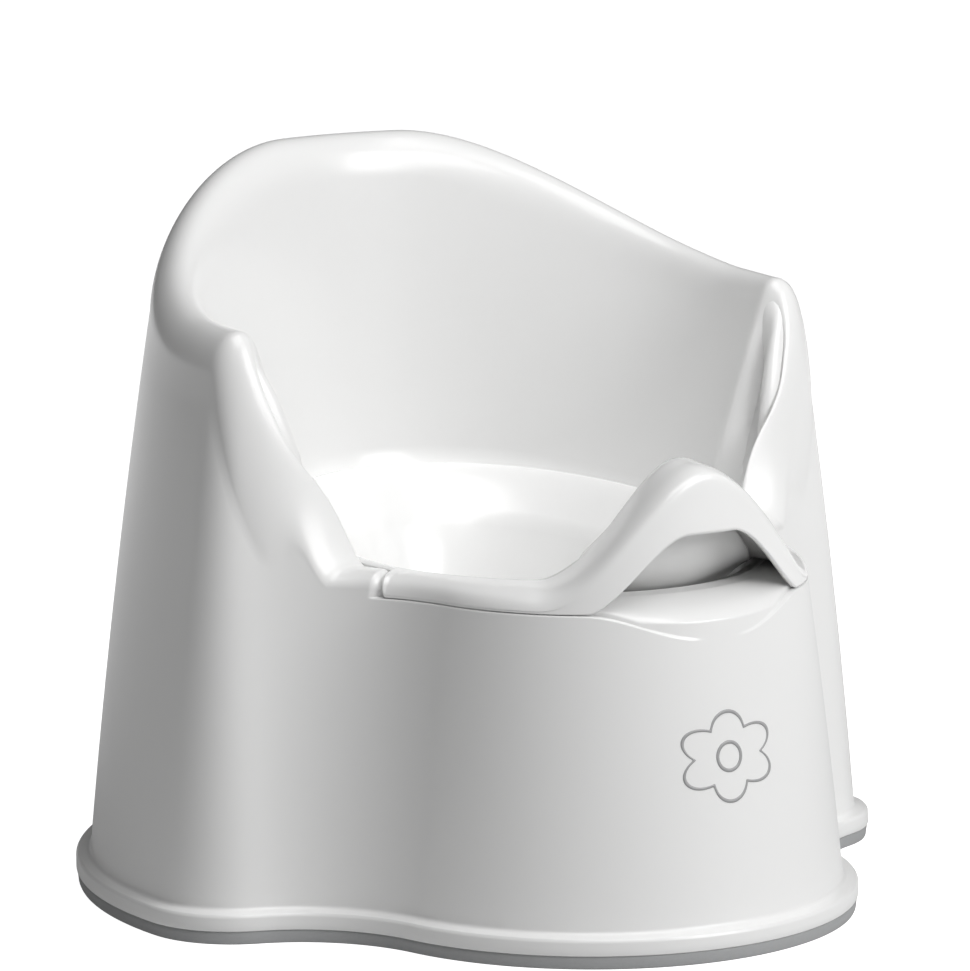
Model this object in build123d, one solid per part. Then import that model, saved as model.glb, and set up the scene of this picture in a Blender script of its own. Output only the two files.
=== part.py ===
"""Potty training chair: a one-piece hollow chair shell, a lift-out potty and a grip strip.

Millimetres.  +Z is up, the floor is z = 0, the child faces -Y, and X = 0 is the plane of
symmetry.  The origin lies under the middle of the base.  Most surfaces are described in
vertical half planes through the seat axis: a bearing of 0 degrees points to the front (-Y)
and 180 degrees to the back, and each half plane holds one wall profile.
"""
import os
from math import atan2, cos, degrees, hypot, radians, sin, sqrt, tan

from build123d import *

# Overall size
OVERALL_WIDTH = 380.0
OVERALL_DEPTH = 377.0
OVERALL_HEIGHT = 320.0

# Base outline: four tangent arcs on each side, from the back to the front
FRONT_RADIUS = 118.5
LOBE_RADIUS = 44.0
WAIST_RADIUS = 70.0
BACK_ARC_OVERRUN = 3.5          # degrees the back arc runs on past the widest point

# Chair shell
SHELL_WALL = 3.0
WALL_LEAN = 7.25                # degrees
FRONT_EXTRA_LEAN = 1.15         # degrees
WALL_CROWN = 2.0                # outward bow of the wall at mid height
FLANGE_LEDGE = 4.7
FLANGE_TOP = 13.8
ARM_TOP = 262.0
ARM_FALL = 3.0                  # the arm is this much lower at its nose
ARM_START_BEARING = 104.0       # where the rim begins to climb to the backrest
BACK_TOP_BEARING = 169.0        # where the backrest reaches its full height
NOSE_TOP_BEARING = 96.0
NOSE_FOOT_BEARING = 69.0
SHOULDER_TOP = 158.0            # chair surface between the arm and the potty's front band
RIM_ROLL = 20.0
INNER_FLARE = 7.0

# Potty opening, an egg-shaped ring about the seat axis
SEAT_AXIS_Y = -22.5
OPENING_HALF_WIDTH = 96.0
OPENING_BACK = 127.0
OPENING_FRONT = 112.0
RIM_FRONT_HEIGHT = 157.5
RIM_BACK_HEIGHT = 169.5

# Inner potty
POTTY_WALL = 2.6
LIP_END = 5                     # point of the bowl's profile where the lip breaks to the wall
LIP_DROP = 20.0                 # depth of the sloping lip inside the opening
LIP_RUN = 24.0
BOWL_FLOOR = 42.0
BOWL_FLOOR_SHARE = 0.52         # floor ring against the opening
RIM_LAND = 3.0                  # flat of the rim outside the opening
SKIRT_BOTTOM = 147.6
SKIRT_BEARING = 64.0            # the front band ends this far round on each side

# Running clearances between the lift-out potty and the shell
SEAT_GAP = 0.5
SEAT_RELIEF = 1.6               # the seat falls away from the lip towards its inner edge
SIDE_GAP = 1.2
SKIRT_GAP = 1.2
SHELL_CREST_DROP = 2.4          # extra room between the front band and the shell's rim under it

# Splash guard and its finger gap
GUARD_TOP = 207.0
GUARD_SPREAD = 50.0             # degrees about the centre of the front arc
GUARD_RIDGE = 9.0               # thickness of the ridge
GAP_TOP = 179.0
GAP_FOOT_HEIGHT = 146.0
GAP_HALF_ANGLE = 38.0
GAP_FLAT_ANGLE = 7.0            # the top of the gap is level this far to each side
SCOOP_DEPTH = 12.0
SCOOP_HALF_ANGLE = 34.0

# Base grip strip
STRIP_HEIGHT = 6.0
STRIP_WIDTH = 8.0
STRIP_INSET = 1.0
STRIP_LIP = 2.2                 # inner lip that hooks up behind the flange
STRIP_LIP_HEIGHT = 2.4
STRIP_LIP_GAP = 0.3

# Bearings of the profiles, closer together where the walls change quickly
SPLIT_BEARING = 122
BEARINGS = [180, 178, 168, 156, 144, 133, 122, 112, 104, 98, 93, 89, 85, 81, 77, 73, 69, 66, 64.5, 63, 61,
            60.2, 59.5, 58.7, 58, 56.5, 55, 50, 45, 40, 36, 32, 28, 24, 20, 16, 12, 8, 4.5, 1.5, 0]


def blend(low, high, value):
    """Smooth step from 0 at low to 1 at high."""
    share = min(max((value - low) / (high - low), 0.0), 1.0)
    return share * share * (3 - 2 * share)


def mix(first, second, share):
    """Point part of the way from first to second."""
    return tuple(a + (b - a) * share for a, b in zip(first, second))


def quarter(crest, side, power):
    """Quarter ellipse from crest out and down to side; a higher power flattens it to a ramp."""
    points = []
    for degree in (0, 30, 60, 90):
        across, down = sin(radians(degree))**power, cos(radians(degree))**power
        points.append((crest[0] + (side[0] - crest[0]) * across, side[1] + (crest[1] - side[1]) * down))
    return points


# ---------------------------------------------------------------- outline of the base

BACK_CENTRE = (0.0, OVERALL_DEPTH / 2 - OVERALL_WIDTH / 2)
FRONT_CENTRE = (0.0, FRONT_RADIUS - OVERALL_DEPTH / 2)


def lobe_and_waist_centres():
    """Centres of the lobe arc and of the waist arc on the +X side."""
    reach = OVERALL_WIDTH / 2 - LOBE_RADIUS
    turn = radians(-BACK_ARC_OVERRUN)
    lobe = (reach * cos(turn), BACK_CENTRE[1] + reach * sin(turn))
    to_lobe = LOBE_RADIUS + WAIST_RADIUS
    to_front = FRONT_RADIUS + WAIST_RADIUS
    dx, dy = FRONT_CENTRE[0] - lobe[0], FRONT_CENTRE[1] - lobe[1]
    span = hypot(dx, dy)
    along = (to_lobe**2 - to_front**2 + span**2) / (2 * span)
    aside = sqrt(to_lobe**2 - along**2)
    return lobe, (lobe[0] + (dx * along - dy * aside) / span, lobe[1] + (dy * along + dx * aside) / span)


LOBE_CENTRE, WAIST_CENTRE = lobe_and_waist_centres()


def unit(origin, target):
    length = hypot(target[0] - origin[0], target[1] - origin[1])
    return (target[0] - origin[0]) / length, (target[1] - origin[1]) / length


def junctions(inset):
    """Where the arcs of the outline meet when the outline is drawn in by inset."""
    back = (cos(radians(-BACK_ARC_OVERRUN)), sin(radians(-BACK_ARC_OVERRUN)))
    lobe = unit(LOBE_CENTRE, WAIST_CENTRE)
    front = unit(FRONT_CENTRE, WAIST_CENTRE)
    return [
        (BACK_CENTRE[0] + (OVERALL_WIDTH / 2 - inset) * back[0],
         BACK_CENTRE[1] + (OVERALL_WIDTH / 2 - inset) * back[1]),
        (LOBE_CENTRE[0] + (LOBE_RADIUS - inset) * lobe[0], LOBE_CENTRE[1] + (LOBE_RADIUS - inset) * lobe[1]),
        (FRONT_CENTRE[0] + (FRONT_RADIUS - inset) * front[0],
         FRONT_CENTRE[1] + (FRONT_RADIUS - inset) * front[1]),
    ]


def bearing_of(point):
    """Bearing of a point about the seat axis, in degrees from the front."""
    return degrees(atan2(abs(point[0]), SEAT_AXIS_Y - point[1]))


def outline_reach(bearing, inset):
    """Distance from the seat axis to the base outline drawn in by inset."""
    bearing = abs(bearing)
    back_end, lobe_end, waist_end = (bearing_of(p) for p in junctions(inset))
    if bearing >= back_end:
        centre, radius, side = BACK_CENTRE, OVERALL_WIDTH / 2 - inset, 1
    elif bearing >= lobe_end:
        centre, radius, side = LOBE_CENTRE, LOBE_RADIUS - inset, 1
    elif bearing > waist_end:
        centre, radius, side = WAIST_CENTRE, WAIST_RADIUS + inset, -1
    else:
        centre, radius, side = FRONT_CENTRE, FRONT_RADIUS - inset, 1
    ux, uy = sin(radians(bearing)), -cos(radians(bearing))
    cx, cy = centre[0], centre[1] - SEAT_AXIS_Y
    along = cx * ux + cy * uy
    return along + side * sqrt(max(radius**2 - (cx * cx + cy * cy - along**2), 0.0))


def outline_wire(inset, z):
    """Closed outline of the base, drawn in by inset, at height z."""
    back_end, lobe_end, waist_end = junctions(inset)
    back = (0, BACK_CENTRE[1] + OVERALL_WIDTH / 2 - inset)
    front = (0, FRONT_CENTRE[1] - FRONT_RADIUS + inset)

    def middle(centre, radius, start, end):
        ax, ay = unit(centre, start)
        bx, by = unit(centre, end)
        mx, my = unit((0, 0), (ax + bx, ay + by))
        return centre[0] + radius * mx, centre[1] + radius * my

    arcs = [
        (back, middle(BACK_CENTRE, OVERALL_WIDTH / 2 - inset, back, back_end), back_end),
        (back_end, middle(LOBE_CENTRE, LOBE_RADIUS - inset, back_end, lobe_end), lobe_end),
        (lobe_end, middle(WAIST_CENTRE, WAIST_RADIUS + inset, lobe_end, waist_end), waist_end),
        (waist_end, middle(FRONT_CENTRE, FRONT_RADIUS - inset, waist_end, front), front),
    ]
    edges = []
    for side in (1, -1):
        for arc in arcs:
            edges.append(Edge.make_three_point_arc(*[(side * x, y, z) for x, y in arc]))
    return Wire.combine(edges)[0]


# ---------------------------------------------------------------- shared heights and radii

def opening_reach(bearing):
    """Distance from the seat axis to the crest of the potty's rim."""
    angle = radians(bearing)
    length = OPENING_BACK if bearing > 90 else OPENING_FRONT
    return 1 / hypot(sin(angle) / OPENING_HALF_WIDTH, cos(angle) / length)


def rim_height(bearing):
    """Height of the crest of the potty's rim, higher at the back."""
    y = SEAT_AXIS_Y - opening_reach(bearing) * cos(radians(bearing))
    back_y = SEAT_AXIS_Y + OPENING_BACK
    return RIM_FRONT_HEIGHT + (RIM_BACK_HEIGHT - RIM_FRONT_HEIGHT) * blend(-75, back_y + 30, y) / blend(
        -75, back_y + 30, back_y)


def wall_inset(bearing, z):
    """How far the leaning wall stands inside the base outline at height z."""
    rise = max(z - FLANGE_TOP, 0) / (OVERALL_HEIGHT - FLANGE_TOP)
    lean = WALL_LEAN + FRONT_EXTRA_LEAN * (1 - blend(60, 90, abs(bearing)))
    return FLANGE_LEDGE + z * tan(radians(lean)) - WALL_CROWN * 4 * rise * (1 - rise)


def front_angle(bearing, reach):
    """Angle about the centre of the front arc of the point at this bearing and reach."""
    x = reach * sin(radians(bearing))
    y = SEAT_AXIS_Y - reach * cos(radians(bearing))
    return degrees(atan2(x, FRONT_CENTRE[1] - y))


def front_share(bearing):
    """1 under the potty's front band, 0 beyond it."""
    return 1 - blend(SKIRT_BEARING - 3, SKIRT_BEARING + 1, bearing)


def crest_height(bearing):
    """Height of the top of the chair shell."""
    front_crest = RIM_FRONT_HEIGHT - POTTY_WALL - SEAT_GAP - SHELL_CREST_DROP
    shoulder = front_crest + (SHOULDER_TOP - front_crest) * (1 - front_share(bearing))
    arm = ARM_TOP - ARM_FALL * (1 - blend(NOSE_TOP_BEARING, ARM_START_BEARING + 12, bearing))
    seat_side = shoulder + (arm - shoulder) * blend(NOSE_FOOT_BEARING, NOSE_TOP_BEARING, bearing)
    climb = blend(ARM_START_BEARING, BACK_TOP_BEARING, bearing)
    return seat_side + (OVERALL_HEIGHT - ARM_TOP) * climb


def crest_slope(bearing):
    """Steepness of the rim along its own path."""
    step = 1.0
    run = radians(2 * step) * (opening_reach(bearing) + RIM_ROLL)
    return (crest_height(bearing + step) - crest_height(bearing - step)) / run


# ---------------------------------------------------------------- chair shell

def shell_skin(bearing):
    """Stretches of the shell's outside, from the seat over the rim to the shoulder.

    It starts on the conical seat under the potty's lip, climbs the inner wall, turns over
    the rolled rim and ends on the outer wall just under the step for the potty's band.
    """
    front = front_share(bearing)
    rim = rim_height(bearing)
    seat = opening_reach(bearing)
    top = crest_height(bearing)
    seat_fall = POTTY_WALL + SEAT_GAP
    drop = LIP_DROP / LIP_RUN
    walled = blend(SHOULDER_TOP + 3, SHOULDER_TOP + 50, top)
    roll = RIM_ROLL * sqrt(1 + crest_slope(bearing)**2)

    foot_z = min(rim - seat_fall - 1.5, top - 0.8)
    foot_reach = seat + RIM_LAND + SIDE_GAP
    head_reach = foot_reach + INNER_FLARE * walled * (0.45 + 0.55 * blend(180, 120, bearing))
    head_z = foot_z + max(1.2, (top - roll - foot_z) * walled)
    outer_roll = 9.0 + (min(roll, top - SKIRT_BOTTOM - 5) - 9.0) * walled

    scoop_angle = abs(front_angle(bearing, outline_reach(bearing, 30)))
    scoop = 1 - blend(SCOOP_HALF_ANGLE - 16, SCOOP_HALF_ANGLE + 2, scoop_angle)
    step_z = SKIRT_BOTTOM - SKIRT_GAP - SCOOP_DEPTH * scoop
    rebate = (POTTY_WALL + SKIRT_GAP) * front * (1 - scoop)
    wall_top = max(top - outer_roll, step_z + 3 - 1.5 * front)

    outer_head = outline_reach(bearing, wall_inset(bearing, wall_top) + rebate)
    crest_reach = head_reach + (outer_head - head_reach) * (0.5 * walled + 0.3 * (1 - walled))

    seat_cone = [(seat - 8, rim - seat_fall - 8 * drop - SEAT_RELIEF),
                 (seat - 4, rim - seat_fall - 4 * drop - SEAT_RELIEF / 2), (foot_reach - 0.5, foot_z)]
    foot, head, crest = seat_cone[-1], (head_reach, head_z), (crest_reach, top)
    inner_wall = [mix(foot, head, share) for share in (0.0, 0.34, 0.67, 1.0)]
    inner_roll = quarter(crest, head, 1.0)[::-1]
    outer_roll = quarter(crest, (outer_head, wall_top), 1.0 + 0.8 * scoop)
    upper_wall = [outer_roll[-1]]
    for share in (1 / 3, 2 / 3, 1.0):
        z = wall_top + (step_z + 1 - wall_top) * share
        upper_wall.append((outline_reach(bearing, wall_inset(bearing, z) + rebate), z))
    step = [upper_wall[-1], (outline_reach(bearing, wall_inset(bearing, step_z - 1)), step_z - 1)]
    return [seat_cone, inner_wall, inner_roll + outer_roll[1:], upper_wall, step]


def hollow_skin(bearing):
    """Stretches of the hollow between the walls, one wall inside the skin."""
    rim = rim_height(bearing)
    seat = opening_reach(bearing)
    top = crest_height(bearing)
    walled = blend(SHOULDER_TOP + 12, SHOULDER_TOP + 60, top)
    seat_fall = POTTY_WALL + SEAT_GAP + SHELL_WALL * 1.3
    drop = LIP_DROP / LIP_RUN
    scoop_angle = abs(front_angle(bearing, outline_reach(bearing, 30)))
    scoop = 1 - blend(SCOOP_HALF_ANGLE - 16, SCOOP_HALF_ANGLE + 2, scoop_angle)
    low_z = SKIRT_BOTTOM - SKIRT_GAP - SCOOP_DEPTH * scoop - 2 * SHELL_WALL
    roll = (RIM_ROLL - SHELL_WALL) * sqrt(1 + crest_slope(bearing)**2)

    foot_reach = seat + RIM_LAND + SIDE_GAP + SHELL_WALL
    head_reach = foot_reach + INNER_FLARE * walled * (0.45 + 0.55 * blend(180, 120, bearing))
    foot_z = low_z + (rim - seat_fall - 3 - low_z) * walled
    hollow_top = low_z + 1 + (top - SHELL_WALL - low_z - 1) * walled
    head_z = foot_z + max(0.5, (hollow_top - roll - foot_z) * walled)
    wall_top = min(hollow_top - 0.5, max(hollow_top - roll, low_z - 1))
    outer_head = outline_reach(bearing, wall_inset(bearing, wall_top) + SHELL_WALL)
    foot_reach = min(foot_reach, outer_head - 4)
    head_reach = min(head_reach, outer_head - 3)
    crest_reach = (head_reach + outer_head) / 2
    seat_edge = (seat - 8, rim - seat_fall - 8 * drop - SEAT_RELIEF)
    foot, head, crest = (foot_reach, foot_z), (head_reach, head_z), (crest_reach, hollow_top)
    inner_wall = [mix(foot, head, share) for share in (0.0, 0.5, 1.0)]
    inner_roll = quarter(crest, head, 1.0)[::-1]
    outer_roll = quarter(crest, (outer_head, wall_top), 1.0)
    end_z = min(low_z, wall_top) - 4
    upper_wall = [outer_roll[-1]]
    for share in (0.5, 1.0):
        z = wall_top + (end_z - wall_top) * share
        upper_wall.append((outline_reach(bearing, wall_inset(bearing, z) + SHELL_WALL), z))
    return [[seat_edge, foot], inner_wall, inner_roll + outer_roll[1:], upper_wall]


def on_bearing(bearing, profile):
    """Profile points (reach, z) placed in the half plane at this signed bearing."""
    ux, uy = sin(radians(bearing)), -cos(radians(bearing))
    return [Vector(reach * ux, SEAT_AXIS_Y + reach * uy, z) for reach, z in profile]


def curve(points):
    """Spline whose knots match in every profile, so that profiles skin cleanly."""
    count = len(points)
    return Edge.make_spline(points, parameters=[i / (count - 1) for i in range(count)])


def wall_points(bearing, start, inset, low_z):
    """Points down the leaning wall from start to low_z."""
    points = [start]
    for i in range(1, 5):
        z = start[1] + (low_z - start[1]) * i / 4
        points.append((outline_reach(bearing, wall_inset(bearing, z) + inset), z))
    return points


def stretches(bearing, profiles):
    """One edge for each stretch of a profile."""
    edges = []
    for profile in profiles:
        points = on_bearing(bearing, profile)
        edges.append(curve(points) if len(points) > 2 else Edge.make_line(*points))
    return edges


def shell_section(bearing):
    """Closed profile of the shell's wall: down the outside to the flange, then up the inside."""
    skin = shell_skin(abs(bearing))
    lining = hollow_skin(abs(bearing))
    outside = wall_points(bearing, skin[-1][-1], 0.0, FLANGE_TOP)
    inside = wall_points(bearing, lining[-1][-1], SHELL_WALL, FLANGE_TOP + 2)
    foot = on_bearing(bearing, [
        outside[-1],
        (outline_reach(bearing, 0.8), FLANGE_TOP - 1.5),
        (outline_reach(bearing, 0.0), FLANGE_TOP - 3),
        (outline_reach(bearing, 0.0), STRIP_HEIGHT),
        (outline_reach(bearing, SHELL_WALL), STRIP_HEIGHT),
        (outline_reach(bearing, SHELL_WALL), FLANGE_TOP - 5),
        inside[-1]])
    lines = [Edge.make_line(a, b) for a, b in zip(foot, foot[1:])]
    seat_edge = Edge.make_line(*on_bearing(bearing, [lining[0][0], skin[0][0]]))
    back_up = [profile[::-1] for profile in [*lining, inside][::-1]]
    return Wire([*stretches(bearing, [*skin, outside]), *lines, *stretches(bearing, back_up), seat_edge])


def is_cut_end(face):
    """True for the flat end that a length of the ring has at the split bearing."""
    middle = face.center()
    return face.geom_type == GeomType.PLANE and abs(bearing_of((middle.X, middle.Y)) - SPLIT_BEARING) < 1.5


def closed_ring(section):
    """Solid through the section at every bearing: the skins of a front and a rear length, sewn together."""
    front_run = [b for b in BEARINGS if b <= SPLIT_BEARING]
    back_run = [b for b in BEARINGS if b >= SPLIT_BEARING]
    front = Solid.make_loft([section(b) for b in front_run + [-b for b in front_run[-2::-1]]])
    back = Solid.make_loft([section(b) for b in back_run[::-1] + [-b for b in back_run[1:]]])
    skins = [face for length in (front, back) for face in length.faces() if not is_cut_end(face)]
    return Solid(Shell(skins))


def chair_shell():
    """One hollow moulding: inner wall, rolled rim, outer wall and flange."""
    return closed_ring(shell_section)


# ---------------------------------------------------------------- inner potty

def band_share(bearing):
    """1 where the potty has its front band, 0 beyond it; it ends inside the shell's step."""
    return 1 - blend(SKIRT_BEARING - 6, SKIRT_BEARING - 3, bearing)


def guard_crest(bearing):
    """Rise of the splash guard from 0 to 1, and the (reach, z) of the potty's highest line."""
    seat = opening_reach(bearing)
    rim = rim_height(bearing)
    angle = front_angle(bearing, outline_reach(bearing, 30)) if bearing < 90 else 90
    rise = 1 - blend(0, GUARD_SPREAD, angle)
    top = rim + (GUARD_TOP - rim) * rise
    ridge = outline_reach(bearing, wall_inset(bearing, top)) - GUARD_RIDGE / 2
    return rise, seat + (ridge - seat) * blend(0, 0.55, rise), top


def rim_profile(bearing, inset):
    """From the highest line outwards; the front band reaches down the outer wall."""
    rim = rim_height(bearing)
    share = band_share(bearing)
    rise, crest, top = guard_crest(bearing)
    under = inset / POTTY_WALL
    land = crest + RIM_LAND
    side = [(crest, rim - inset), (crest + 0.9, rim - 0.1 - inset), (crest + 1.7, rim - 0.3 - inset * 0.95),
            (land - 0.5 - 0.5 * under, rim - 0.6 - inset * 0.8), (land - 0.2 - 0.4 * under, rim - 0.8 - 0.6 * inset),
            (land - 0.1 * under, rim - 1.1 - 0.4 * inset), (land, rim - 1.4 - 0.2 * inset)]
    roll_z = top - 8.5 + 3.0 * rise
    wall = outline_reach(bearing, wall_inset(bearing, roll_z) + inset)
    band = [(crest, top - inset)]
    for degree in (30, 60, 90):
        angle = radians(degree)
        band.append((crest + (wall - crest) * sin(angle), roll_z + (top - inset - roll_z) * cos(angle)))
    for step in (1, 2, 3):
        z = roll_z + (SKIRT_BOTTOM - roll_z) * step / 3
        band.append((outline_reach(bearing, wall_inset(bearing, z) + inset), z))
    out, down = share * (2 - share), share**2
    return [(a[0] + (b[0] - a[0]) * out, a[1] + (b[1] - a[1]) * down) for a, b in zip(side, band)]


def bowl_profile(bearing, inset):
    """From the highest line down the guard's back, the sloping lip and the wall to the floor."""
    seat = opening_reach(bearing)
    rim = rim_height(bearing)
    rise, crest, top = guard_crest(bearing)
    floor = BOWL_FLOOR_SHARE * seat
    side, down = 0.9 * inset, 0.75 * inset
    rim_edge = [(crest - 0.8 + 0.1 * inset, rim - 0.2 - inset), (crest - 1.6 + 0.15 * inset, rim - 0.5 - inset)]
    back = [(crest - 0.42 * GUARD_RIDGE + 0.8 * inset, top - 3.0 - 0.5 * inset),
            (seat + 0.42 * (crest - seat) + inset, rim + 0.42 * (top - rim))]
    guarded = blend(0, 0.3, rise)
    wall_run = seat - LIP_RUN - floor
    return [(crest, top - inset)] + [mix(a, b, guarded) for a, b in zip(rim_edge, back)] + [
        (seat - 3 + 0.2 * inset + 0.6 * inset * guarded, rim - 1.2 - inset * (1 - 0.6 * guarded)),
        (seat - 0.45 * LIP_RUN + 0.4 * inset, rim - 0.36 * LIP_DROP - down * 1.2),
        (seat - LIP_RUN + side * 0.8, rim - LIP_DROP - down),
        (seat - LIP_RUN - 0.42 * wall_run + side * 1.05, rim - LIP_DROP - 32 - inset * 0.4),
        (seat - LIP_RUN - 0.72 * wall_run + side * 1.05, BOWL_FLOOR + 26 - inset * 0.4),
        (floor + 6 + side, BOWL_FLOOR + 6 - down),
        (floor - 2, BOWL_FLOOR - inset),
    ]


def potty_section(bearing):
    """Closed profile of the potty's wall at one bearing."""
    size = abs(bearing)
    outer_rim = on_bearing(bearing, rim_profile(size, 0.0))
    under_rim = on_bearing(bearing, rim_profile(size, POTTY_WALL))
    inner_bowl = on_bearing(bearing, bowl_profile(size, 0.0))
    outer_bowl = on_bearing(bearing, bowl_profile(size, POTTY_WALL))
    lip = LIP_END
    return Wire([
        curve(inner_bowl[:lip - 1:-1]), curve(inner_bowl[lip::-1]), curve(outer_rim),
        Edge.make_line(outer_rim[-1], under_rim[-1]), curve(under_rim[::-1]), curve(outer_bowl[:lip + 1]),
        curve(outer_bowl[lip:]), Edge.make_line(outer_bowl[-1], inner_bowl[-1])])


def on_front(angle, profile):
    """Profile points (reach, z) in the half plane at this angle about the front arc's centre."""
    ux, uy = sin(radians(angle)), -cos(radians(angle))
    return [Vector(reach * ux, FRONT_CENTRE[1] + reach * uy, z) for reach, z in profile]


def front_face(z):
    """Reach of the front face about the front arc's centre."""
    return FRONT_RADIUS - wall_inset(0, z)


def gap_height(angle):
    """Height of the top of the finger gap in the guard's front face."""
    return GAP_FOOT_HEIGHT + (GAP_TOP - GAP_FOOT_HEIGHT) * (1 - blend(GAP_FLAT_ANGLE, GAP_HALF_ANGLE + 2, abs(angle)))


def gap_section(angle):
    """Closed profile of the cut that opens the guard's front face and the band below it."""
    top = gap_height(angle)
    inner = front_face(top) - 3 * POTTY_WALL
    low = SKIRT_BOTTOM - SCOOP_DEPTH
    corners = on_front(angle, [(inner, low), (inner, top), (FRONT_RADIUS, top), (FRONT_RADIUS, low)])
    return Wire([Edge.make_line(a, b) for a, b in zip(corners, corners[1:] + corners[:1])])


def bowl_floor():
    """Disc that closes the bottom of the bowl, inside the wall's floor ring."""
    bearings = [i * 15 for i in range(24)]
    ring = [Vector(BOWL_FLOOR_SHARE * opening_reach(min(b, 360 - b)) * sin(radians(b)),
                   SEAT_AXIS_Y - BOWL_FLOOR_SHARE * opening_reach(min(b, 360 - b)) * cos(radians(b)),
                   BOWL_FLOOR - POTTY_WALL) for b in bearings]
    outline = Wire([Edge.make_spline(ring, periodic=True)])
    return Solid.extrude(Face(outline), Vector(0, 0, POTTY_WALL))


def inner_potty():
    """Bowl, rim, front band and hollow splash guard, with the finger gap cut through its face."""
    sides = [GAP_HALF_ANGLE * share for share in (0.18, 0.35, 0.5, 0.65, 0.8, 0.92, 1.0)]
    gap = Solid.make_loft([gap_section(a) for a in [-s for s in reversed(sides)] + [0.0] + sides])
    return closed_ring(potty_section) + bowl_floor() - gap


# ---------------------------------------------------------------- base grip strip

def base_grip_strip():
    """Soft ring under the flange, with a lip that hooks up behind the flange's wall."""
    ring = Solid.make_loft([outline_wire(STRIP_INSET, 0), outline_wire(0.3, STRIP_HEIGHT)], True)
    inside = Solid.make_loft([outline_wire(STRIP_WIDTH, -1), outline_wire(STRIP_WIDTH, STRIP_HEIGHT + 1)], True)
    lip_outside = Solid.make_loft(
        [outline_wire(SHELL_WALL + STRIP_LIP_GAP, STRIP_HEIGHT - 1),
         outline_wire(SHELL_WALL + STRIP_LIP_GAP, STRIP_HEIGHT + STRIP_LIP_HEIGHT)], True)
    lip_inside = Solid.make_loft(
        [outline_wire(SHELL_WALL + STRIP_LIP, STRIP_HEIGHT - 2),
         outline_wire(SHELL_WALL + STRIP_LIP, STRIP_HEIGHT + STRIP_LIP_HEIGHT + 1)], True)
    return (ring - inside) + (lip_outside - lip_inside)


if __name__ == "__main__":
    os.makedirs("parts", exist_ok=True)
    pieces = {"chair_shell": chair_shell(), "inner_potty": inner_potty(), "base_grip_strip": base_grip_strip()}
    for name, piece in pieces.items():
        print(name, piece.is_valid, len(piece.solids()), piece.volume)
        export_step(piece, f"parts/{name}.step")
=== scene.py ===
"""Potty training chair: a hollow white shell, a lift-out potty and a grey grip strip.

The chair faces -Y, +Z is up and X = 0 is the plane of symmetry.  Sizes in the classes are in
millimetres; every mesh is written in metres.  Most surfaces are swept about the seat axis: a
bearing of 0 degrees is the front, 180 degrees the back, and each bearing holds one wall profile.
"""
import logging
from dataclasses import dataclass
from enum import Enum
from math import cos, radians, sin
from typing import Any

import bpy
import numpy as np
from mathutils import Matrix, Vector


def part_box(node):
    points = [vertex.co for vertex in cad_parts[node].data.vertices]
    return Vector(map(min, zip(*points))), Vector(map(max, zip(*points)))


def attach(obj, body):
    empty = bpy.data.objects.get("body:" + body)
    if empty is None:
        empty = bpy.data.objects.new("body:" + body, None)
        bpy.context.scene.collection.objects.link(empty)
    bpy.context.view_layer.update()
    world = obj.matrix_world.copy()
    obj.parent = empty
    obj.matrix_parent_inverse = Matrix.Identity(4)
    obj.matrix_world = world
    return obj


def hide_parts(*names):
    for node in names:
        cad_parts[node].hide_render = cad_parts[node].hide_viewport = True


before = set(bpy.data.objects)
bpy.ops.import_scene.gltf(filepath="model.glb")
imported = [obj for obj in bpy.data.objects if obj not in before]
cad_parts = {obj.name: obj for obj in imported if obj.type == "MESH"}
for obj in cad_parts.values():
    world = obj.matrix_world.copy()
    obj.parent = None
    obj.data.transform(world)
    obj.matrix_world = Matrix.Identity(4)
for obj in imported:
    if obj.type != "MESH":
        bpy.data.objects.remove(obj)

Array = np.ndarray
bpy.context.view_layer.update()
MILLIMETRE = 0.001
ROLL_FULLNESS = 0.55
BAND_END_FROM, BAND_END_TO = 52.0, 78.0
logger = logging.getLogger("potty_chair")


class Body(Enum):
    """Bodies of the frame that the pieces ride on."""

    CHAIR = "chair"
    POTTY = "potty"


# ---------------------------------------------------------------- shapes


def smooth_step(low: Any, high: Any, value: Any) -> Array:
    """Rise from 0 at low to 1 at high along 3s^2 - 2s^3.

    Args:
        low: Value where the rise starts.
        high: Value where it ends.
        value: Where it is read.

    Returns:
        The height of the step at each value.
    """
    share = np.clip((value - low) / (high - low), 0.0, 1.0)
    return share * share * (3 - 2 * share)


def spline_weights(knots: int, samples: int) -> Array:
    """Weights of a natural cubic through evenly spaced knots.

    Each sample is the chord between its two knots plus the cubic terms ((1-f)^3 - (1-f)) / 6 and
    (f^3 - f) / 6 times the second differences that make the slopes agree at every knot.

    Args:
        knots: Number of points that the curve passes through.
        samples: Number of points read along it.

    Returns:
        One row of weights for each sample.
    """
    bends = np.zeros((knots, knots))
    inner = knots - 2
    if inner > 0:
        system = 4 * np.eye(inner) + np.eye(inner, k=1) + np.eye(inner, k=-1)
        second = np.eye(inner, knots) - 2 * np.eye(inner, knots, k=1) + np.eye(inner, knots, k=2)
        bends[1:-1] = np.linalg.solve(system, 6 * second)
    place = np.linspace(0, knots - 1, samples)
    span = np.minimum(place.astype(int), knots - 2)
    far = (place - span)[:, None]
    near = 1 - far
    chord = near * np.eye(knots)[span] + far * np.eye(knots)[span + 1]
    return chord + (near**3 - near) / 6 * bends[span] + (far**3 - far) / 6 * bends[span + 1]


def points(*pairs: tuple[Any, Any]) -> Array:
    """Profile points for every bearing, from (reach, height) pairs of arrays or numbers.

    Args:
        *pairs: Reach and height of each point, one value or one for each bearing.

    Returns:
        An array of bearings by points by two.
    """
    flat = np.broadcast_arrays(*[np.asarray(value, float) for pair in pairs for value in pair])
    return np.stack(flat, axis=-1).reshape(flat[0].shape + (len(pairs), 2))


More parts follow.
